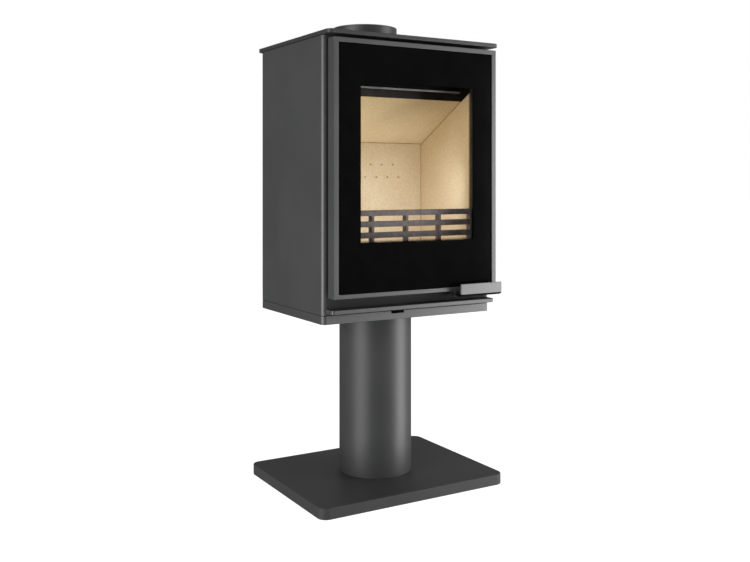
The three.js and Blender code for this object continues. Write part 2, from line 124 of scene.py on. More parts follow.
floor_bm = bmesh.new()
bmesh.ops.create_grid(floor_bm, x_segments=1, y_segments=1, size=25)
floor_mesh = bpy.data.meshes.new("floor_sheet")
floor_bm.to_mesh(floor_mesh)
floor_bm.free()
floor_sheet = bpy.data.objects.new("floor_sheet", floor_mesh)
floor_sheet.data.materials.append(pale_sheet)
bpy.context.scene.collection.objects.link(floor_sheet)
floor_sheet.visible_glossy = False
floor_sheet.visible_shadow = False
print("floor is", floor_sheet.dimensions.x, "m wide")

# %% [markdown]
# ## The sky
# Every face gets a little light from all round. It is weaker from below and from the left,
# which sets the side of the body a tone darker than its front. A picture of a room could do
# this too, but Map Range nodes on the direction need no file and are easy to change: one
# follows the height above the horizon, one the height below it, and one goes from side to side.

# %% Shade the sky
HORIZON, OVERHEAD, BELOW = 0.26, 0.24, 0.12
UPPER_FALL = (12.5, 22)
LOWER_FALL = (-14, -2)
LEFT_SHARE, RIGHT_SHARE = 0.55, 1.35
SIDE_FALL = (-0.3, 0.7)

world = bpy.data.worlds.new("studio_sky")
bpy.context.scene.world = world
world.use_nodes = True
sky = world.node_tree
direction = sky.nodes.new("ShaderNodeTexCoord")
split = sky.nodes.new("ShaderNodeSeparateXYZ")
sky.links.new(direction.outputs["Generated"], split.inputs["Vector"])


def spread(tree, value, low, high, start=0.0, end=1.0):
    """A Map Range node's output: a number laid out between two limits."""
    stage = tree.nodes.new("ShaderNodeMapRange")
    for socket, number in zip(("From Min", "From Max", "To Min", "To Max"), (start, end, low, high)):
        stage.inputs[socket].default_value = number
    tree.links.new(value, stage.inputs["Value"])
    return stage.outputs["Result"]


def arithmetic(tree, kind, first, second=None):
    """One sum on two numbers or outputs."""
    node = tree.nodes.new("ShaderNodeMath")
    node.operation = kind
    for socket, value in zip(node.inputs, (first, second)):
        if value is None:
            continue
        if isinstance(value, (int, float)):
            socket.default_value = value
        else:
            tree.links.new(value, socket)
    return node.outputs["Value"]


upper = spread(sky, split.outputs["Z"], HORIZON, OVERHEAD, *(sin(radians(a)) for a in UPPER_FALL))
upper.node.interpolation_type = "SMOOTHSTEP"
lower = spread(sky, split.outputs["Z"], BELOW, HORIZON, *(sin(radians(a)) for a in LOWER_FALL))
sideways = spread(sky, split.outputs["X"], LEFT_SHARE, RIGHT_SHARE, *SIDE_FALL)
shaded = arithmetic(sky, "MULTIPLY", arithmetic(sky, "MINIMUM", upper, lower), sideways)
whiten = for_the_lens(sky, 1.0, 0.0)
brighter = arithmetic(sky, "MAXIMUM", shaded, whiten.outputs["Result"])
sky.links.new(brighter, sky.nodes["Background"].inputs["Strength"])
sky.nodes["Background"].inputs["Color"].default_value = (1, 1, 1, 1)
bpy.context.scene.view_settings.view_transform = "Standard"
print("sky from", HORIZON, "at the horizon to", OVERHEAD, "overhead")

# %% [markdown]
# ## The lamps
# Dark satin paint shows its shape by what it mirrors. A tall softbox on the right runs a long
# streak down the column and brightens the front towards its right end, and a weaker one on the
# left lights the column's other side and the body's rounded corner. A wide lamp beside the
# camera fills in the front and another behind the stove lights its back, and both are kept out
# of reflections. A strength is given as brightness per area, so a lamp can be resized and
# still look as bright.

# %% Hang the lamps
AIM_HEIGHT = 0.55


def softbox(name, azimuth, distance, height, width, tall, brightness, aim, mirrored=True):
    """A rectangular lamp that stands round the stove and faces its middle at the height of aim."""
    data = bpy.data.lights.new(name, "AREA")
    data.shape = "RECTANGLE"
    data.size = width
    data.size_y = tall
    data.energy = brightness * pi * width * tall
    lamp = bpy.data.objects.new(name, data)
    bpy.context.scene.collection.objects.link(lamp)
    spot = Vector((distance * cos(radians(azimuth)), distance * sin(radians(azimuth)), height))
    lamp.location = spot
    lamp.rotation_euler = (Vector((0, 0, aim)) - spot).to_track_quat("-Z", "Y").to_euler()
    lamp.visible_camera = False
    lamp.visible_glossy = mirrored
    print(f"{name}: {data.energy:.0f} W")


softbox("softbox_right", 325, 2.6, 0.04, 1.45, 2.4, 7.9, 0.04)
softbox("softbox_left", 194.5, 2.6, 0.10, 1.7, 2.6, 5.1, 0.10)
softbox("lamp_by_camera", 236, 3.2, 3.2, 1.6, 1.6, 3.0, AIM_HEIGHT, mirrored=False)
softbox("lamp_behind", 75, 3.2, 1.8, 1.6, 1.6, 2.6, AIM_HEIGHT, mirrored=False)

# %% [markdown]
# ## Helpers for steel pieces
# Each new piece starts as a block, a ring or a profile that bmesh shapes, and takes its size
# from the part of the frame that it stands for. Real steel edges are never sharp: a Bevel
# modifier breaks every hard edge by a fraction of a millimetre, so that it catches light, and a
# Weighted Normal modifier keeps the large faces flat. Both stay live and finish the mesh.

# %% Start a block, pick its edges, round them
def block(low, high):
    """A bmesh block between two corners."""
    bm = bmesh.new()
    bmesh.ops.create_cube(bm, size=1)
    low, high = Vector(low), Vector(high)
    bmesh.ops.scale(bm, vec=high - low, verts=bm.verts)
    bmesh.ops.translate(bm, vec=(low + high) / 2, verts=bm.verts)
    return bm


def edges_along(bm, axis, where=lambda middle: True):
    """The edges that run along one axis, 0 to 2, and pass a test of their middle."""
    found = []
    for edge in bm.edges:
        run = edge.verts[1].co - edge.verts[0].co
        middle = (edge.verts[0].co + edge.verts[1].co) / 2
        if abs(run[axis]) > 0.999 * run.length and where(middle):
            found.append(edge)
    return found


def round_edges(bm, edges, radius, steps):
    """Rounds edges to a radius."""
    bmesh.ops.bevel(bm, geom=edges, offset=radius, offset_type="OFFSET", segments=steps,
                    profile=0.5, affect="EDGES", material=-1, clamp_overlap=True)


# %% Cut lines and open windows
def score(bm, axis, places):
    """Cuts a line round the mesh at each place along an axis, and parts nothing."""
    for place in places:
        point, normal = Vector(), Vector()
        point[axis] = place
        normal[axis] = 1
        everything = bm.verts[:] + bm.edges[:] + bm.faces[:]
        bmesh.ops.bisect_plane(bm, geom=everything, plane_co=point, plane_no=normal)


def drop_faces(bm, test):
    """Deletes the faces whose middle and normal pass a test."""
    bm.normal_update()
    gone = [face for face in bm.faces if test(face.calc_center_median(), face.normal)]
    bmesh.ops.delete(bm, geom=gone, context="FACES")


def verts_in(geom):
    """The vertices among an operator's results."""
    return [part for part in geom if isinstance(part, bmesh.types.BMVert)]


# %% Finish a piece
def finish_piece(bm, name, body, material, stands_for,
                 edge=0.0, steps=2, wall=0.0, closed=True):
    """Makes the object, gives it its wall and soft edges, and ties it to the frame."""
    bmesh.ops.remove_doubles(bm, verts=bm.verts, dist=1e-6)
    if closed:
        bmesh.ops.recalc_face_normals(bm, faces=bm.faces)
    for face in bm.faces:
        face.smooth = True
    mesh = bpy.data.meshes.new(name)
    bm.to_mesh(mesh)
    bm.free()
    piece = bpy.data.objects.new(name, mesh)
    bpy.context.scene.collection.objects.link(piece)
    piece.data.materials.append(material)
    if wall:
        sheet = piece.modifiers.new("sheet_wall", "SOLIDIFY")
        sheet.thickness = wall
        sheet.offset = -1
        sheet.use_even_offset = True
    if edge:
        soft = piece.modifiers.new("broken_edges", "BEVEL")
        soft.width = edge
        soft.segments = steps
        soft.limit_method = "ANGLE"
        soft.angle_limit = radians(32)
        soft.miter_outer = "MITER_ARC"
    level = piece.modifiers.new("flat_faces", "WEIGHTED_NORMAL")
    level.weight = 100
    level.keep_sharp = True
    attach(piece, body)
    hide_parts(*stands_for)
    return piece


# %% Give some faces a second finish
def second_coat(piece, material, test):
    """Faces that pass a test of their middle and normal take a second material."""
    piece.data.materials.append(material)
    for face in piece.data.polygons:
        if test(face.center, face.normal):
            face.material_index = 1


# %% Copy a part of the frame and ease its edges
def eased_part(node_name, body, material, edge):
    """A merged copy of a frame part, with its flat faces whole and its edges eased."""
    bm = bmesh.new()
    bm.from_mesh(nodes[node_name].data)
    bmesh.ops.remove_doubles(bm, verts=bm.verts, dist=1e-6)
    bmesh.ops.dissolve_limit(bm, angle_limit=radians(1), verts=bm.verts, edges=bm.edges)
    return finish_piece(bm, node_name + "_eased", body, material, [node_name], edge=edge)


# %% [markdown]
# ## The paint
# Stove paint is a matt, heat-proof coat sprayed on steel. It is nearly black, with the grey
# bloom of fine pigment, and it has a very fine grit that spreads its highlights. A flat grey
# would look like plastic, so slow noise shifts the tone and the gloss by a few percent over a
# hand's width, and fast noise makes the grit as bump. Body, column, base, lid and handle each
# have a mix of their own, which differs in its grey and in how much it mirrors. One more mix,
# darker and duller, is painted shade for the body's front face in the door's shadow.

# %% Mix the paint
def noise(tree, scale, detail):
    """A noise texture on the piece's own coordinates."""
    place = tree.nodes.new("ShaderNodeTexCoord")
    texture = tree.nodes.new("ShaderNodeTexNoise")
    texture.inputs["Scale"].default_value = scale
    texture.inputs["Detail"].default_value = detail
    tree.links.new(place.outputs["Object"], texture.inputs["Vector"])
    return texture.outputs["Fac"]


def tones(tree, value, stops):
    """A colour ramp between two stops, each given as (place, colour)."""
    ramp = tree.nodes.new("ShaderNodeValToRGB")
    for stop, (position, colour) in zip(ramp.color_ramp.elements, stops):
        stop.position = position
        stop.color = (*colour, 1)
    tree.links.new(value, ramp.inputs["Fac"])
    return ramp.outputs["Color"]


def relief(tree, shader, height, strength, depth):
    """Bump on a shader from a height."""
    bump = tree.nodes.new("ShaderNodeBump")
    bump.inputs["Strength"].default_value = strength
    bump.inputs["Distance"].default_value = depth
    tree.links.new(height, bump.inputs["Height"])
    tree.links.new(bump.outputs["Normal"], shader.inputs["Normal"])


def tinted(tree, colour, tint):
    """One colour multiplied by another."""
    blend = tree.nodes.new("ShaderNodeMix")
    blend.data_type = "RGBA"
    blend.blend_type = "MULTIPLY"
    blend.inputs[0].default_value = 1
    tree.links.new(colour, blend.inputs[6])
    tree.links.new(tint, blend.inputs[7])
    return blend.outputs[2]


def stove_paint(name, grey, gloss, dullness):
    """Heat-proof paint: its grey, how much it mirrors, and how rough it is."""
    material, tree, shader = new_shader(name)
    drift = noise(tree, 7, 4)
    fleck = noise(tree, 900, 2)
    colour = tones(tree, drift, [(0.35, (grey * 0.92, grey * 0.93, grey * 0.95)),
                                 (0.65, (grey * 1.06, grey * 1.07, grey * 1.10))])
    dusty = tinted(tree, colour, tones(tree, fleck, [(0.3, (0.86,) * 3), (0.7, (1.12,) * 3)]))
    tree.links.new(dusty, shader.inputs["Base Color"])
    tree.links.new(spread(tree, drift, dullness - 0.03, dullness + 0.04), shader.inputs["Roughness"])
    shader.inputs["Specular IOR Level"].default_value = gloss
    relief(tree, shader, fleck, 0.25, 0.0001)
    return material


paint = stove_paint("anthracite_paint", 0.046, 0.88, 0.42)
column_paint = stove_paint("column_paint", 0.046, 0.46, 0.45)
base_paint = stove_paint("base_paint", 0.052, 0.16, 0.5)
# Painted shade: a darker, duller mix for the body's front face under the door.
door_shade_paint = stove_paint("door_shade_paint", 0.037, 0.12, 0.5)
lid_paint = stove_paint("lid_paint", 0.034, 0.56, 0.40)
handle_paint = stove_paint("handle_paint", 0.105, 1.0, 0.36)
print("paint mixes:", [m.name for m in bpy.data.materials if m.name.endswith("paint")])

# %% [markdown]
# ## Bare and blackened metals
# Behind the paint are blackened steel sheets, zinc-plated screws and a cast guard. Blackened
# sheet is dull brown-black with cloudy heat marks. Soot dulls it further. A near-black that
# mirrors almost nothing is painted shade for steel in gaps and under parts, and a pale grey
# steel is a painted highlight for a lip that catches light. Zinc is pale and smooth with a faint
# spangle. Casting sand leaves a coarse, lumpy skin, so the guard's bump is larger and deeper.

# %% Make the metals
def metal_finish(name, dark, light, scale, metallic, dullness, lumps, depth, gloss=0.5):
    """A metal whose colour clouds between two tones, with bumps of one size."""
    material, tree, shader = new_shader(name)
    clouds = noise(tree, scale, 5)
    tree.links.new(tones(tree, clouds, [(0.35, dark), (0.68, light)]), shader.inputs["Base Color"])
    tree.links.new(spread(tree, clouds, dullness + 0.08, dullness - 0.05), shader.inputs["Roughness"])
    shader.inputs["Metallic"].default_value = metallic
    shader.inputs["Specular IOR Level"].default_value = gloss
    relief(tree, shader, noise(tree, lumps, 4), 0.5, depth)
    return material


black_steel = metal_finish("blackened_steel", (0.012, 0.011, 0.010), (0.034, 0.030, 0.027),
                           26, 0.0, 0.62, 500, 0.0002)
zinc = metal_finish("zinc_plate", (0.30, 0.31, 0.32), (0.52, 0.53, 0.55),
                    240, 1.0, 0.34, 900, 0.00005)
cast_iron = metal_finish("cast_iron", (0.145, 0.122, 0.118), (0.21, 0.178, 0.172),
                         120, 0.0, 0.7, 520, 0.0006)
soot_steel = metal_finish("sooted_steel", (0.006, 0.005, 0.0045), (0.014, 0.012, 0.010),
                          30, 0.0, 0.75, 500, 0.0002)
# Near-black that mirrors almost nothing: painted shade for gaps, notches and undersides.
lamp_black = metal_finish("lamp_black", (0.002, 0.0018, 0.0017), (0.005, 0.0045, 0.004),
                           30, 0.0, 0.85, 500, 0.0002, gloss=0.1)
# Pale grey steel: a painted highlight for the airwash plate's lip.
lip_highlight_steel = metal_finish("lip_highlight_steel", (0.16, 0.155, 0.15), (0.26, 0.25, 0.245),
                          40, 0.0, 0.6, 500, 0.0001)
print("metals:", black_steel.name, zinc.name, cast_iron.name)

# %% [markdown]
# ## Vermiculite board
# The firebox is lined with pressed vermiculite, a mineral that puffs up into small golden
# flakes. A board is cream, with paler and browner flakes a few millimetres wide and a slightly
# open, grainy face. Voronoi cells make the flakes, and slow noise clouds them. A painted tint
# turns the boards more golden towards the top, for the warmer light bounced there. A second,
# browner mix is painted shade for the board edges and the joints.

# %% Press the board
def vermiculite(name, brown, pale):
    """Pressed board: flakes between two tones, tinted golden towards the top as painted warm light.
    """
    material, tree, shader = new_shader(name)
    place = tree.nodes.new("ShaderNodeTexCoord")
    flakes = tree.nodes.new("ShaderNodeTexVoronoi")
    flakes.inputs["Scale"].default_value = 380
    flakes.inputs["Randomness"].default_value = 1
    tree.links.new(place.outputs["Object"], flakes.inputs["Vector"])
    height = tree.nodes.new("ShaderNodeSeparateXYZ")
    tree.links.new(place.outputs["Object"], height.inputs["Vector"])
    # Painted light: the tint turns golden with height for the warmer bounced light up there.
    warm_light_height = spread(tree, height.outputs["Z"], 0.0, 1.0, 0.56, 0.86)
    colour = tones(tree, flakes.outputs["Color"], [(0.1, brown), (0.9, pale)])
    clouds = tones(tree, noise(tree, 14, 4), [(0.3, (0.95, 0.93, 0.90)), (0.7, (1, 1, 1))])
    colour = tinted(tree, colour, clouds)
    golden = tones(tree, warm_light_height, [(0.0, (1, 1, 1)), (1.0, (1, 0.95, 0.80))])
    colour = tinted(tree, colour, golden)
    tree.links.new(colour, shader.inputs["Base Color"])
    shader.inputs["Roughness"].default_value = 0.9
    shader.inputs["Specular IOR Level"].default_value = 0.2
    relief(tree, shader, flakes.outputs["Distance"], 0.35, 0.0006)
    return material


board = vermiculite("vermiculite_board", (0.68, 0.56, 0.38), (0.78, 0.67, 0.48))
# A browner copy of the board: painted shade for edges and joints.
joint_shade_board = vermiculite("joint_shade_board", (0.38, 0.25, 0.12), (0.50, 0.34, 0.18))
print("boards:", board.name, joint_shade_board.name)

# %% [markdown]
# ## Printed glass
# The door glass is one pane. Ceramic ink is printed on all of it but a clear window, and along
# the window's foot the ink ends in a fine band of dots that get smaller. One material does both:
# it measures how far a point is inside the window, and the dots' size follows that distance.
# The clear part lets the eye and the lamps through, and the ink stops them. The print lies
# about 2 mm to the right of the door's middle.

# %% Print the glass
WINDOW_LEFT, WINDOW_RIGHT = -0.1412, 0.1450
WINDOW_FOOT = 0.5565
WINDOW_HEAD = 0.8875
DOT_PITCH = 1.5 * MM
FADE = 12 * MM

printed_glass, tree, shader = new_shader("printed_glass")
place = tree.nodes.new("ShaderNodeTexCoord")
axes = tree.nodes.new("ShaderNodeSeparateXYZ")
tree.links.new(place.outputs["Object"], axes.inputs["Vector"])
left_room = arithmetic(tree, "SUBTRACT", axes.outputs["X"], WINDOW_LEFT)
right_room = arithmetic(tree, "SUBTRACT", WINDOW_RIGHT, axes.outputs["X"])
side_room = arithmetic(tree, "MINIMUM", left_room, right_room)
foot_room = arithmetic(tree, "SUBTRACT", axes.outputs["Z"], WINDOW_FOOT)
head_room = arithmetic(tree, "SUBTRACT", WINDOW_HEAD, axes.outputs["Z"])
dots = tree.nodes.new("ShaderNodeTexVoronoi")
dots.voronoi_dimensions = "2D"
dots.inputs["Scale"].default_value = 1 / DOT_PITCH
dots.inputs["Randomness"].default_value = 0
flat = tree.nodes.new("ShaderNodeCombineXYZ")
tree.links.new(axes.outputs["X"], flat.inputs["X"])
tree.links.new(axes.outputs["Z"], flat.inputs["Y"])
tree.links.new(flat.outputs["Vector"], dots.inputs["Vector"])
fade = spread(tree, foot_room, 0.78, 0.0, -FADE / 2, FADE / 2)
inked_dot = arithmetic(tree, "LESS_THAN", dots.outputs["Distance"], fade)
inked_side = arithmetic(tree, "LESS_THAN", arithmetic(tree, "MINIMUM", side_room, head_room), 0.0)
inked = arithmetic(tree, "MAXIMUM", inked_dot, inked_side)
tree.links.new(spread(tree, inked, 0.035, 1.0), shader.inputs["Alpha"])
tree.links.new(tones(tree, noise(tree, 30, 3), [(0.3, (0.0022, 0.0022, 0.0024)),
                                               (0.7, (0.0034, 0.0034, 0.0037))]),
               shader.inputs["Base Color"])
tree.links.new(spread(tree, noise(tree, 12, 2), 0.06, 0.10), shader.inputs["Roughness"])
shader.inputs["Specular IOR Level"].default_value = 0.06
print("window", round(1000 * (WINDOW_RIGHT - WINDOW_LEFT)), "mm wide")

# %% [markdown]
# ## Rope and tape
# The door seals with a knitted glass-fibre rope, and a thin woven tape lies behind the glass.
# Both are matt, with a small regular weave. Two crossed waves make the weave as tone and bump.

# %% Weave the seals
def woven(name, dark, light, scale):
    """A knit or weave: two crossed waves between two tones."""
    material, tree, shader = new_shader(name)
    place = tree.nodes.new("ShaderNodeTexCoord")
    heights = []
    for direction in ("X", "Z"):
        wave = tree.nodes.new("ShaderNodeTexWave")
        wave.bands_direction = direction
        wave.inputs["Scale"].default_value = scale
        wave.inputs["Distortion"].default_value = 0.6
        tree.links.new(place.outputs["Object"], wave.inputs["Vector"])
        heights.append(wave.outputs["Fac"])
    weave = arithmetic(tree, "MAXIMUM", *heights)
    tree.links.new(tones(tree, weave, [(0.2, dark), (0.9, light)]), shader.inputs["Base Color"])
    shader.inputs["Roughness"].default_value = 0.95
    relief(tree, shader, weave, 0.8, 0.0008)
    return material


rope = woven("glass_fibre_rope", (0.010, 0.010, 0.011), (0.035, 0.035, 0.037), 260)
tape = woven("woven_tape", (0.30, 0.29, 0.26), (0.52, 0.51, 0.47), 320)
print("seals:", rope.name, tape.name)

# %% [markdown]
# ## Base plate
# A thick steel plate keeps the stove from tipping. Its four corners have a wide radius and its
# edges are only dressed with a file. It starts as a block: the upright edges are rounded first,
# and then the rest are broken.

# %% Cut the base plate
BASE_CORNER = 20 * MM

bm = block(*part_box("base_plate"))
round_edges(bm, edges_along(bm, 2), BASE_CORNER, 12)
base = finish_piece(bm, "base_slab", "stove", base_paint, ["base_plate"],
                    edge=1.1 * MM, steps=3)
print("base plate", [round(v * 1000, 1) for v in base.dimensions])

# %% [markdown]
# ## Column
# The column is a length of round tube. create_cone with two equal radii and no caps makes its
# outer skin, and the modifier gives it its wall. Many sides keep the outline round up close.

# %% Stand the column
low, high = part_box("column_tube")
bm = bmesh.new()
radius = (high[0] - low[0]) / 2
bmesh.ops.create_cone(bm, cap_ends=False, segments=128, radius1=radius, radius2=radius,
                      depth=high[2] - low[2])
bmesh.ops.translate(bm, vec=(0, 0, (high[2] + low[2]) / 2), verts=bm.verts)
finish_piece(bm, "column", "stove", column_paint, ["column_tube"],
             edge=0.6 * MM, wall=4 * MM)
print("column radius", round(radius * 1000, 1), "mm")

# %% [markdown]
# ## Bottom pan
# The pan is a folded tray under the body, with round corners to match it and a small notch in
# its front edge for the air lever. It is a block with rounded upright edges and no lid. Cut
# lines at the notch's sides let its faces be taken out.

# %% Fold the pan
BODY_CORNER = 10 * MM
NOTCH_LEFT, NOTCH_RIGHT, NOTCH_FOOT = -48 * MM, -16 * MM, 400.4 * MM

bm = block(*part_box("base_pan"))
round_edges(bm, edges_along(bm, 2), BODY_CORNER, 10)
drop_faces(bm, lambda middle, normal: normal.z > 0.9)
score(bm, 0, [NOTCH_LEFT, NOTCH_RIGHT])
score(bm, 2, [NOTCH_FOOT])
drop_faces(bm, lambda middle, normal: normal.y < -0.9 and middle.z > NOTCH_FOOT
           and NOTCH_LEFT < middle.x < NOTCH_RIGHT)
pan = finish_piece(bm, "bottom_pan", "stove", paint, ["base_pan"],
                   edge=0.7 * MM, wall=2.5 * MM)
print("pan", [round(v * 1000, 1) for v in pan.dimensions])

# %% [markdown]
# ## Body
# The body is one sheet wrapped round the firebox, with a wide soft fold at each upright corner.
# The fold is what draws the long bright line down the stove's front corner. The sheet is open
# at the top and bottom, has a mouth for the door, and a service opening at the back. Its front
# face, which the door hides all but the edge of, has a darker, duller paint as painted shade
# from the door.

# %% Wrap the body
mouth_low, mouth_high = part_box("front_frame")
MOUTH_GAP = 0.5 * MM
SERVICE_HALF, SERVICE_FOOT, SERVICE_HEAD = 188 * MM, 430 * MM, 960 * MM

bm = block(*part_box("body_shell"))
round_edges(bm, edges_along(bm, 2), BODY_CORNER, 12)
drop_faces(bm, lambda middle, normal: abs(normal.z) > 0.9)
score(bm, 0, [mouth_low[0] - MOUTH_GAP, mouth_high[0] + MOUTH_GAP, -SERVICE_HALF, SERVICE_HALF])
score(bm, 2, [mouth_low[2] - MOUTH_GAP, mouth_high[2] + MOUTH_GAP, SERVICE_FOOT, SERVICE_HEAD])
drop_faces(bm, lambda middle, normal: normal.y < -0.9 and abs(middle.x) < mouth_high[0] + MOUTH_GAP
           and mouth_low[2] - MOUTH_GAP < middle.z < mouth_high[2] + MOUTH_GAP)
drop_faces(bm, lambda middle, normal: normal.y > 0.9 and abs(middle.x) < SERVICE_HALF
           and SERVICE_FOOT < middle.z < SERVICE_HEAD)
body = finish_piece(bm, "body_wrap", "stove", paint, ["body_shell"],
                    edge=0.5 * MM, wall=2 * MM)
# The front faces take the darker paint as painted shade under the door.
second_coat(body, door_shade_paint, lambda middle, normal: normal.y < -0.99)
print("body", [round(v * 1000, 1) for v in body.dimensions])

# %% [markdown]
# ## Rear panel
# A flat sheet closes the back, with a row of slots near the top that let warm air out. Lines
# are cut at the slots' sides and ends, and the faces between them are taken out.

# %% Slot the rear panel
SLOTS, SLOT_PITCH, SLOT_HALF = 11, 20 * MM, 3 * MM
SLOT_FOOT, SLOT_HEAD = 890 * MM, 935 * MM

slot_middles = [(i - (SLOTS - 1) / 2) * SLOT_PITCH for i in range(SLOTS)]
bm = block(*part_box("rear_panel"))
drop_faces(bm, lambda middle, normal: normal.y < 0.9)
score(bm, 0, [x + side * SLOT_HALF for x in slot_middles for side in (-1, 1)])
score(bm, 2, [SLOT_FOOT, SLOT_HEAD])
drop_faces(bm, lambda middle, normal: SLOT_FOOT < middle.z < SLOT_HEAD
           and any(abs(middle.x - x) < SLOT_HALF for x in slot_middles))
rear = finish_piece(bm, "rear_sheet", "stove", paint, ["rear_panel"],
                    edge=0.4 * MM, wall=2 * MM, closed=False)
print("rear panel", [round(v * 1000, 1) for v in rear.dimensions])

# %% [markdown]
# ## Top plate
# The top plate overhangs the door and has a round hole for the flue collar. Its outline and the
# hole are two loops with the same number of points, and bridging them makes the flat face. An
# extrusion then gives it its thickness.

# %% Cut the top plate
low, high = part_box("top_plate")
collar_low, collar_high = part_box("flue_collar")
COLLAR_RADIUS, COLLAR_GAP = 75 * MM, 0.5 * MM
COLLAR_MIDDLE = ((collar_low[0] + collar_high[0]) / 2, (collar_low[1] + collar_high[1]) / 2)
TOP_CORNER = 12 * MM

bm = block(low, high)
round_edges(bm, edges_along(bm, 2), TOP_CORNER, 11)
drop_faces(bm, lambda middle, normal: middle.z < high[2] - 0.1 * MM)
rim = [edge for edge in bm.edges if edge.is_boundary]
bmesh.ops.delete(bm, geom=bm.faces[:], context="FACES_ONLY")
hole = bmesh.ops.create_circle(bm, cap_ends=False, segments=len(rim),
                               radius=COLLAR_RADIUS + COLLAR_GAP)["verts"]
bmesh.ops.rotate(bm, verts=hole, cent=(0, 0, 0), matrix=Matrix.Rotation(pi / len(rim), 3, "Z"))
bmesh.ops.translate(bm, verts=hole, vec=(*COLLAR_MIDDLE, high[2]))
bmesh.ops.bridge_loops(bm, edges=bm.edges[:])
skin = bmesh.ops.extrude_face_region(bm, geom=bm.faces[:])["geom"]
bmesh.ops.translate(bm, vec=(0, 0, low[2] - high[2]), verts=verts_in(skin))
top = finish_piece(bm, "lid_plate", "stove", lid_paint, ["top_plate"],
                   edge=0.9 * MM, steps=3)
print("top plate", [round(v * 1000, 1) for v in top.dimensions])

# %% [markdown]
# ## Flue collar
# The collar is turned: its wall is drawn once as a closed outline in the XZ plane, with a
# flange that sits under the plate, and a full spin turns it round.

# %% Spin the collar
def turned(outline, middle, steps):
    """A ring: a closed outline of (radius, height) points, spun round an upright axis."""
    bm = bmesh.new()
    points = [bm.verts.new((middle[0] + r, middle[1], z)) for r, z in outline]
    edges = [bm.edges.new((a, b)) for a, b in zip(points, points[1:] + points[:1])]
    bmesh.ops.spin(bm, geom=points + edges, cent=(*middle, 0), axis=(0, 0, 1), angle=2 * pi,
                   steps=steps, use_merge=True)
    return bm


COLLAR_WALL = 3 * MM
FLANGE_TOP, FLANGE_THICK, FLANGE_WIDE = 963 * MM, 3.5 * MM, 14 * MM

outer, inner = COLLAR_RADIUS, COLLAR_RADIUS - COLLAR_WALL
foot, mouth, rim = collar_low[2], collar_high[2], outer + FLANGE_WIDE
bm = turned([(inner, foot), (outer, foot),
             (outer, FLANGE_TOP - FLANGE_THICK), (rim, FLANGE_TOP - FLANGE_THICK),
             (rim, FLANGE_TOP), (outer, FLANGE_TOP), (outer, mouth), (inner, mouth)],
            COLLAR_MIDDLE, 96)
finish_piece(bm, "flue_ring", "stove", paint, ["flue_collar"], edge=0.8 * MM, steps=3)
print("collar stands", round((mouth - high[2]) * 1000, 1), "mm above the plate")

# %% [markdown]
# ## Ledge plate
# A thin shelf runs across the body under the door. Its two front corners are rounded and its
# edges are broken, which leaves a bright dot at the left corner. Its top is given blackened
# steel as painted shade, for the shadow of the door above it.

# %% Cut the ledge
LEDGE_CORNER = 6 * MM

low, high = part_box("ledge_plate")
bm = block(low, high)
round_edges(bm, edges_along(bm, 2, lambda middle: middle.y < low[1] + 1 * MM), LEDGE_CORNER, 8)
ledge = finish_piece(bm, "ledge", "stove", paint, ["ledge_plate"],
                     edge=0.8 * MM, steps=3)
# Painted shade: the top takes the darker blackened steel for the door's shadow.
second_coat(ledge, black_steel, lambda middle, normal: normal.z > 0.9)
print("ledge", [round(v * 1000, 1) for v in ledge.dimensions])

# %% [markdown]
# ## Door frame
# The door is a shallow pressed tray with its middle cut out, which leaves a narrow lip in front
# of the glass. A block without its back gives the tray, cut lines mark the opening, and the
# wall comes from the modifier. Blocks in the corners hold the hinge pins and the handle's pin.

# %% Press the door frame
SIDE_LIP, TOP_LIP, LOW_LIP = 11 * MM, 9.7 * MM, 8.6 * MM
DOOR_WALL = 2.4 * MM
door_low, door_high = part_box("door_frame")

bm = block(door_low, door_high)
drop_faces(bm, lambda middle, normal: normal.y > 0.9)
score(bm, 0, [door_low[0] + SIDE_LIP, door_high[0] - SIDE_LIP])
score(bm, 2, [door_low[2] + LOW_LIP, door_high[2] - TOP_LIP])
drop_faces(bm, lambda middle, normal: normal.y < -0.9 and abs(middle.x) < door_high[0] - SIDE_LIP
           and door_low[2] + LOW_LIP < middle.z < door_high[2] - TOP_LIP)
door = finish_piece(bm, "door_tray", "door", paint, ["door_frame"],
                    edge=0.5 * MM, wall=DOOR_WALL)
print("door", [round(v * 1000, 1) for v in door.dimensions])

# %% Weld in the corner blocks
def blocks(boxes):
    """Several blocks in one bmesh."""
    bm = bmesh.new()
    for low, high in boxes:
        made = bmesh.ops.create_cube(bm, size=1)["verts"]
        low, high = Vector(low), Vector(high)
        bmesh.ops.scale(bm, vec=high - low, verts=made)
        bmesh.ops.translate(bm, vec=(low + high) / 2, verts=made)
    return bm


BLOCK_RIGHT, BLOCK_FRONT, BLOCK_BACK = -184 * MM, -175 * MM, -160 * MM
LOWER_BLOCK_TOP, UPPER_BLOCK_FOOT = 452.6 * MM, 965.9 * MM
GRIP_BLOCK_FRONT, GRIP_BLOCK_TOP, GRIP_SPARE = -173.2 * MM, 458 * MM, 4 * MM

grip_low, grip_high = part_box("handle_pivot_pin")
block_left = door_low[0] + DOOR_WALL - 0.2 * MM
block_foot, block_head = door_low[2] + 2 * MM, door_high[2] - 2 * MM
bm = blocks([
    ((block_left, BLOCK_FRONT, block_foot), (BLOCK_RIGHT, BLOCK_BACK, LOWER_BLOCK_TOP)),
    ((block_left, BLOCK_FRONT, UPPER_BLOCK_FOOT), (BLOCK_RIGHT, BLOCK_BACK, block_head)),
    ((grip_low[0] - GRIP_SPARE, GRIP_BLOCK_FRONT, block_foot),
     (grip_high[0] + GRIP_SPARE, BLOCK_BACK, GRIP_BLOCK_TOP)),
])
finish_piece(bm, "corner_blocks", "door", paint, [], edge=0.6 * MM)
print("two hinge blocks, and one round the handle's pin at x", round(grip_low[0] * 1000), "mm")

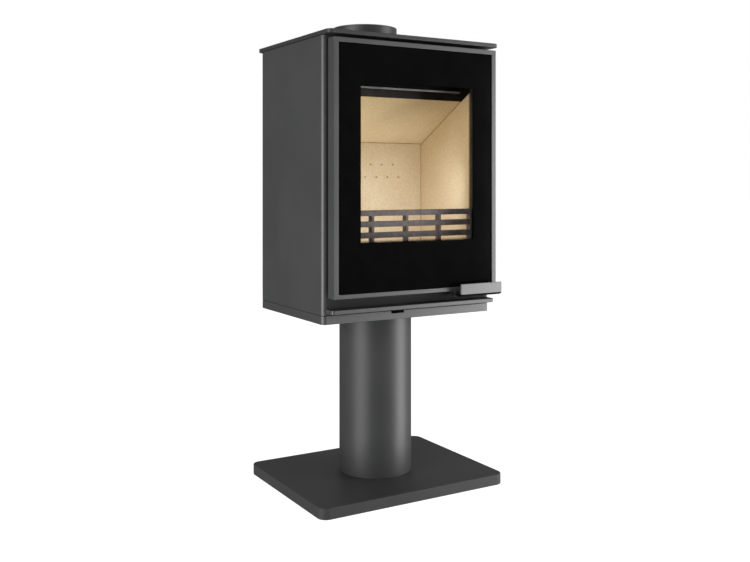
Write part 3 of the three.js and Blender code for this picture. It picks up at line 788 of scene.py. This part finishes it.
# %% [markdown]
# ## Door glass
# The pane is one flat sheet with ground edges, so a copy of the frame's part with its edges
# eased is all it needs. The print does the rest.

# %% Set the glass
glass = eased_part("door_glass", "door", printed_glass, 0.5 * MM)
print("glass", [round(v * 1000, 1) for v in glass.dimensions])

# %% [markdown]
# ## Handle
# The handle is a strip folded along its foot: an upright face in front, a soft fold, and a
# flange that runs back under the door to its pivot. A wire of the section is extruded along the
# handle, the fold and the free lower corner are rounded, and the modifier gives the strip its
# thickness. Whatever faces down is painted near-black as painted shade, because it lies in the
# handle's own shade.

# %% Fold the handle
low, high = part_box("door_handle")
GRIP_LEFT, GRIP_RIGHT = 95.5 * MM, high[0]
GRIP_FOOT = 431.9 * MM
FLANGE_BACK = -184 * MM
FREE_CORNER, FOLD = 4.5 * MM, 6.5 * MM

bm = bmesh.new()
section = [bm.verts.new((GRIP_LEFT, *point)) for point in
           ((low[1], high[2]), (low[1], GRIP_FOOT), (FLANGE_BACK, GRIP_FOOT))]
strip = [bm.edges.new(section[:2]), bm.edges.new(section[1:])]
run = bmesh.ops.extrude_edge_only(bm, edges=strip)["geom"]
bmesh.ops.translate(bm, vec=(GRIP_RIGHT - GRIP_LEFT, 0, 0), verts=verts_in(run))
crease = edges_along(bm, 0, lambda middle: middle.y < low[1] + 1 * MM
                     and middle.z < GRIP_FOOT + 0.1 * MM)
round_edges(bm, crease, FOLD, 8)
bm.normal_update()
if sum(face.normal.y for face in bm.faces) > 0:
    bmesh.ops.reverse_faces(bm, faces=bm.faces)
for vert in bm.verts:
    rise = max(0, vert.co.z - GRIP_FOOT)
    if vert.co.x > GRIP_RIGHT - 0.1 * MM and rise < FREE_CORNER:
        reach = sqrt(max(0, FREE_CORNER ** 2 - (FREE_CORNER - rise) ** 2))
        vert.co.x = GRIP_RIGHT - FREE_CORNER + reach
handle = finish_piece(bm, "handle_strip", "handle", handle_paint,
                      ["door_handle"], edge=0.8 * MM, steps=3, wall=4 * MM, closed=False)
# Painted shade: the downward faces take the near-black.
second_coat(handle, lamp_black, lambda middle, normal: normal.z < -0.2)
print("handle", [round(v * 1000, 1) for v in handle.dimensions])

# %% [markdown]
# ## Hub and hook
# Behind the strip, a hub turns on the handle's pin and a hook reaches back to the latch. The
# frame's part has both, so a copy of it is cut off where the strip ends and the cut is closed.

# %% Keep the hub and the hook under the door
bm = bmesh.new()
bm.from_mesh(nodes["door_handle"].data)
bmesh.ops.remove_doubles(bm, verts=bm.verts, dist=1e-6)
bmesh.ops.bisect_plane(bm, geom=bm.verts[:] + bm.edges[:] + bm.faces[:],
                       plane_co=(0, FLANGE_BACK - 0.1 * MM, 0), plane_no=(0, 1, 0),
                       clear_inner=True)
bmesh.ops.holes_fill(bm, edges=[edge for edge in bm.edges if edge.is_boundary], sides=0)
bmesh.ops.dissolve_limit(bm, angle_limit=radians(1), verts=bm.verts, edges=bm.edges)
# The hub is blackened steel, set dark as painted shade behind the strip.
hub = finish_piece(bm, "handle_hub", "handle", black_steel, [], edge=0.4 * MM)
print("hub", [round(v * 1000, 1) for v in hub.dimensions])

# %% [markdown]
# ## Firebox lining
# Each board is a copy of its part in the frame, with corners slightly worn. The Bevel modifier
# gives the worn edges the second, browner material as painted shade, which draws the thin dark
# joints between the boards. Thin beads of the same tone stand in the joints round the rear board,
# painted shade for the gaps there.

# %% Line the firebox
BOARD_WEAR = 2.2 * MM
# The bevel faces of each board take the browner board as painted shade in the joints.
for name in ("brick_left", "brick_right", "brick_rear", "brick_floor", "baffle_board"):
    lining = eased_part(name, "stove", board, BOARD_WEAR)
    lining.data.materials.append(joint_shade_board)
    lining.modifiers["broken_edges"].material = 1
print("five boards with worn edges of", round(BOARD_WEAR * 1000, 1), "mm")

# %% Bead the joints
LINING_HALF = 174 * MM
BEAD, BEAD_SUNK = 1.1 * MM, 0.2 * MM
BEAD_FOOT, BAFFLE_FOOT = 530 * MM, 775.2 * MM

rear_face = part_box("brick_rear")[0][1]
front, back = rear_face - BEAD, rear_face + BEAD_SUNK
upright = [((x - BEAD, front, BEAD_FOOT), (x + BEAD, back, BAFFLE_FOOT))
           for x in (-LINING_HALF, LINING_HALF)]
level = [((-LINING_HALF, front, BAFFLE_FOOT - BEAD), (LINING_HALF, back, BAFFLE_FOOT))]
# Dark beads in the joints round the rear board: painted shade.
beads = blocks(upright + level)
finish_piece(beads, "joint_shade_beads", "stove", joint_shade_board, [], edge=0.5 * MM)
print("beads", round(2 * BEAD * 1000, 1), "mm wide")

# %% [markdown]
# ## Steel round the fire
# A plate behind the top of the glass turns air down over it. Its wall is painted near-black as
# painted shade, and its lower lip pale grey as a painted highlight where it catches light. A
# sooted strip guards the baffle's front edge. The frame that the door closes on is painted
# near-black as painted shade in the gap round the door, and only the inner cheeks of its sleeve
# keep the blackened steel and catch some light. A plate of one thickness is a block with broken
# edges.

# %% Make the airwash plate, the baffle's strip and the mouth
LIP_HIGH, LIP_PROUD = 3.8 * MM, 2 * MM
STRIP_FOOT, STRIP_HEAD = 866.4 * MM, 897 * MM
STRIP_FRONT, STRIP_BACK = 1.6 * MM, 0.1 * MM
SLEEVE_OUTSIDE = 180 * MM

low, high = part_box("airwash_plate")
bm = block((low[0], low[1] + LIP_PROUD, low[2] + LIP_HIGH), high)
# The wall takes the near-black as painted shade, and the lip below it the pale steel as a painted
# highlight.
finish_piece(bm, "airwash_wall", "stove", lamp_black, ["airwash_plate"], edge=0.4 * MM)
bm = block(low, (high[0], high[1], low[2] + LIP_HIGH))
finish_piece(bm, "airwash_lip", "stove", lip_highlight_steel, [], edge=0.6 * MM)
low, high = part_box("baffle_board")
bm = block((low[0], low[1] - STRIP_FRONT, STRIP_FOOT), (high[0], low[1] - STRIP_BACK, STRIP_HEAD))
finish_piece(bm, "baffle_edge_strip", "stove", soot_steel, [], edge=0.4 * MM)
# The frame is painted near-black as painted shade in the gap round the door; the sleeve's inner
# cheeks keep blackened steel.
mouth = eased_part("front_frame", "stove", lamp_black, 0.5 * MM)
second_coat(mouth, black_steel, lambda middle, normal: abs(normal.x) > 0.9
            and abs(middle.x) < SLEEVE_OUTSIDE and normal.x * middle.x < 0)
print("mouth", [round(v * 1000, 1) for v in mouth.dimensions])

# %% [markdown]
# ## Log guard
# The guard is one casting: four rails and five posts, with edges that the mould leaves round.
# Lines are cut in one upright face at every rail and post, the openings are taken out, and the
# modifier gives the grid its depth.

# %% Cast the log guard
RAILS, RAIL_PITCH, RAIL_TALL = 4, 23.6 * MM, 12.1 * MM
POST_PITCH, POST_HALF, END_POST = 86 * MM, 3.6 * MM, 5.4 * MM

low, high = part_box("log_guard")
rail_heads = [high[2] - i * RAIL_PITCH for i in range(RAILS)]
rails = [(head - RAIL_TALL, head) for head in rail_heads]
posts = [(x - POST_HALF, x + POST_HALF) for x in (-POST_PITCH, 0, POST_PITCH)]
posts += [(low[0], low[0] + END_POST), (high[0] - END_POST, high[0])]
bm = block(low, high)
drop_faces(bm, lambda middle, normal: normal.y > -0.9)
score(bm, 0, [x for post in posts for x in post if low[0] < x < high[0]])
score(bm, 2, [z for rail in rails for z in rail if z < high[2]])
drop_faces(bm, lambda middle, normal: not any(a < middle.x < b for a, b in posts)
           and not any(a < middle.z < b for a, b in rails))
guard = finish_piece(bm, "guard_casting", "stove", cast_iron, ["log_guard"],
                     edge=1.3 * MM, steps=3, wall=high[1] - low[1], closed=False)
print("guard", [round(v * 1000, 1) for v in guard.dimensions])

# %% [markdown]
# ## Screws
# The rear panel and the glass retainer are held by the same socket screws. One head is a short
# cone with a hexagonal socket: a circle of six edges is cut into as many points as the head's
# rim has, the two loops are bridged, and the hexagon's edges are pushed in. Copies of it make
# each set.

# %% Turn the screws
RIM_POINTS, HEX_POINTS = 24, 6
HEAD_RADIUS, HEAD_TALL = 4.2 * MM, 2.5 * MM
RIM_SHARE, SOCKET_SHARE, SOCKET_DEPTH = 0.82, 0.46, 0.55


def screw_set(name, body, heads):
    """One piece with a socket head on each node's box, all facing the back."""
    bm = bmesh.new()
    bmesh.ops.create_cone(bm, cap_ends=False, segments=RIM_POINTS, radius1=HEAD_RADIUS,
                          radius2=RIM_SHARE * HEAD_RADIUS, depth=HEAD_TALL)
    foot = [edge for edge in bm.edges if edge.verts[0].co.z < 0 and edge.verts[1].co.z < 0]
    bmesh.ops.edgeloop_fill(bm, edges=foot)
    rim = [edge for edge in bm.edges if edge.verts[0].co.z > 0 and edge.verts[1].co.z > 0]
    socket = bmesh.ops.create_circle(bm, cap_ends=False, segments=HEX_POINTS,
                                     radius=SOCKET_SHARE * HEAD_RADIUS)["verts"]
    bmesh.ops.translate(bm, verts=socket, vec=(0, 0, HEAD_TALL / 2))
    sides = [edge for edge in bm.edges if edge.verts[0] in socket]
    bmesh.ops.subdivide_edges(bm, edges=sides, cuts=RIM_POINTS // HEX_POINTS - 1)
    inside_rim = (RIM_SHARE + SOCKET_SHARE) / 2 * HEAD_RADIUS
    sides = [edge for edge in bm.edges
             if all(vert.co.xy.length < inside_rim for vert in edge.verts)]
    bmesh.ops.bridge_loops(bm, edges=rim + sides)
    pushed = bmesh.ops.extrude_edge_only(bm, edges=sides)["geom"]
    bmesh.ops.translate(bm, verts=verts_in(pushed), vec=(0, 0, -SOCKET_DEPTH * HEAD_TALL))
    bmesh.ops.edgeloop_fill(bm, edges=[e for e in pushed if isinstance(e, bmesh.types.BMEdge)])
    bmesh.ops.rotate(bm, verts=bm.verts, cent=(0, 0, 0), matrix=Matrix.Rotation(radians(-90), 3, "X"))
    pattern = bm.verts[:] + bm.edges[:] + bm.faces[:]
    for node_name in heads:
        low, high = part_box(node_name)
        copy = bmesh.ops.duplicate(bm, geom=pattern)["geom"]
        spot = ((low[0] + high[0]) / 2, high[1] - HEAD_TALL / 2, (low[2] + high[2]) / 2)
        bmesh.ops.translate(bm, verts=verts_in(copy), vec=spot)
    bmesh.ops.delete(bm, geom=verts_in(pattern), context="VERTS")
    return finish_piece(bm, name, body, zinc, heads, edge=0.15 * MM)


rear_screws = screw_set("rear_screws", "stove", [f"rear_screw_{i}" for i in range(1, 7)])
door_screws = screw_set("retainer_screws", "door", [f"retainer_screw_{i}" for i in range(1, 5)])
for screws in (rear_screws, door_screws):
    print(screws.name, "spread over", [round(v * 1000) for v in screws.dimensions], "mm")

# %% [markdown]
# ## The small steel parts
# Every part that is left, from the flanges to the hinge pins, keeps its shape from the frame
# and gets eased edges and its own finish. The rope, the tape, the glass retainer and the firebox
# shell stay as they are and only take their materials, because merging the flat faces round
# their large openings could fill them in.

# %% Ease what is left
SMALL_EDGE = 0.35 * MM
FINISHES = {"fasteners": zinc, "dark_steel": black_steel}
# The air slide and the handle's pin are painted dark as painted shade: one shows through the pan's
# notch, the other sits under the handle.
SHADE_DARKENED = {"air_slide": lamp_black, "handle_pivot_pin": black_steel}
AS_PACKED = {"door_gasket": rope, "glass_gasket": tape, "firebox_shell": black_steel,
             "glass_retainer": black_steel}
homes = {part: group for group, parts in frame["record"]["behaviour"]["bodies"].items()
         for part in parts}
eased = []
for name, part in sorted(nodes.items()):
    if part.hide_render:
        continue
    if name in AS_PACKED:
        for slot in part.material_slots:
            slot.material = AS_PACKED[name]
        continue
    kind = "dark_steel"
    if "bolt" in name or "pin" in name:
        kind = "fasteners"
    finish = SHADE_DARKENED.get(name, FINISHES[kind])
    eased.append(eased_part(name, homes[name], finish, SMALL_EDGE).name)
print(len(eased), "more parts eased")

# %% [markdown]
# ## Light in the firebox
# The pale boards catch the room's light through the window, but too little of it gets past the
# printed glass to show them at their real brightness. A lamp just inside the guard adds what is
# missing, and neither the lens nor the reflections see it.

# %% Light the firebox
BOARD_LIGHT = 3.9
inside = bpy.data.lights.new("firebox_light", "AREA")
inside.shape = "RECTANGLE"
inside.size = 0.27
inside.size_y = 0.16
inside.color = (0.94, 0.98, 1.08)
inside.energy = BOARD_LIGHT * pi * inside.size * inside.size_y
inside_lamp = bpy.data.objects.new("firebox_light", inside)
bpy.context.scene.collection.objects.link(inside_lamp)
inside_lamp.location = (0, -0.1222, 0.63)
inside_lamp.rotation_euler = Vector((0, 1, -0.05)).to_track_quat("-Z", "Y").to_euler()
inside_lamp.visible_camera = False
inside_lamp.visible_glossy = False
print("firebox light", round(inside.energy, 2), "W")
